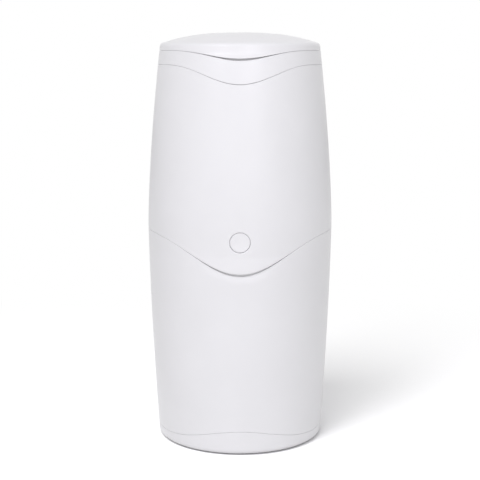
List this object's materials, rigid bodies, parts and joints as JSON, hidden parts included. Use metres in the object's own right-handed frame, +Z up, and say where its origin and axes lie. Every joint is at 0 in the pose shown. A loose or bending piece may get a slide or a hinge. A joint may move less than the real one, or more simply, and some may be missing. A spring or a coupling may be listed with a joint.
{
  "type": "nappy bin",
  "caption": "White barrel-shaped nappy bin with a domed lid over a film cassette and sprung clamp, and a head that tilts back on a push-button latch.",
  "frame": {"origin": "on the floor under the middle of the barrel, at the centre of the whole part's box seen from above", "axes": "+Z up, -Y towards the front with the button and the finger lips, +X to the right of someone facing the front"},
  "size_m": [0.24, 0.2465, 0.5285],
  "materials": {
    "white_shell": "satin-gloss moulded white",
    "inner_plastic": "matt pale grey",
    "cassette_plastic": "matt pale blue-grey",
    "grey_plastic": "matt grey",
    "grey_rubber": "matt soft grey",
    "film": "thin milky film in folds",
    "carbon_foam": "open black foam",
    "steel": "zinc-plated"
  },
  "bodies": {
    "base": {"base_cap": "white_shell", "foot_pads": "grey_rubber", "base_screws": "steel", "lower_shell": "white_shell", "catch_leaf": "steel", "catch_screws": "steel", "hinge_pin": "steel"},
    "head": {"upper_shell": "white_shell", "top_ring": "white_shell", "cassette_tray": "inner_plastic", "chute_sleeve": "inner_plastic", "tray_screws": "steel", "clamp_frame": "inner_plastic", "frame_screws": "steel", "spring_guides": "steel", "left_spring": "steel", "right_spring": "steel", "cutter_body": "grey_plastic", "cutter_blade": "steel", "cutter_screws": "steel", "cassette_body": "cassette_plastic", "cassette_cap": "cassette_plastic", "film_pack": "film", "latch_bracket": "grey_plastic", "bracket_screws": "steel", "latch_pin": "steel", "latch_spring": "steel", "lid_pin": "steel"},
    "lid": {"lid_shell": "white_shell", "lid_liner": "inner_plastic", "liner_screws": "steel", "carbon_filter": "carbon_foam", "filter_cover": "inner_plastic", "lid_seal": "grey_rubber"},
    "button": {"button": "white_shell"},
    "latch": {"latch_lever": "grey_plastic"},
    "left_jaw": {"left_jaw": "inner_plastic", "left_jaw_lip": "grey_rubber"},
    "right_jaw": {"right_jaw": "inner_plastic", "right_jaw_lip": "grey_rubber"}
  },
  "joints": [
    {"name": "head_tilt", "type": "hinge", "parent": "base", "child": "head", "pos_m": [0, 0.1195, 0.277], "axis": [-1, 0, 0], "range_deg": [0, 90], "deforming": ["catch_leaf"]},
    {"name": "lid_open", "type": "hinge", "parent": "head", "child": "lid", "pos_m": [0, 0.10409, 0.507], "axis": [-1, 0, 0], "range_deg": [0, 95]},
    {"name": "button_press", "type": "slide", "parent": "head", "child": "button", "axis": [0, 1, 0], "range_m": [0, 0.0025], "stiffness_N_per_m": 400, "springref_m": -0.002},
    {"name": "latch_swing", "type": "hinge", "parent": "head", "child": "latch", "pos_m": [0, -0.0989, 0.3], "axis": [1, 0, 0], "range_deg": [0, 6.5], "deforming": ["latch_spring"]},
    {"name": "left_jaw_slide", "type": "slide", "parent": "head", "child": "left_jaw", "axis": [-1, 0, 0], "range_m": [0, 0.036], "stiffness_N_per_m": 80, "springref_m": -0.02, "deforming": ["left_spring"]},
    {"name": "right_jaw_slide", "type": "slide", "parent": "head", "child": "right_jaw", "axis": [1, 0, 0], "range_m": [0, 0.036], "stiffness_N_per_m": 80, "springref_m": -0.02, "deforming": ["right_spring"]}
  ],
  "couplings": [
    {"joint": "latch_swing", "follows": "button_press", "rad_per_m": 44.4}
  ]
}
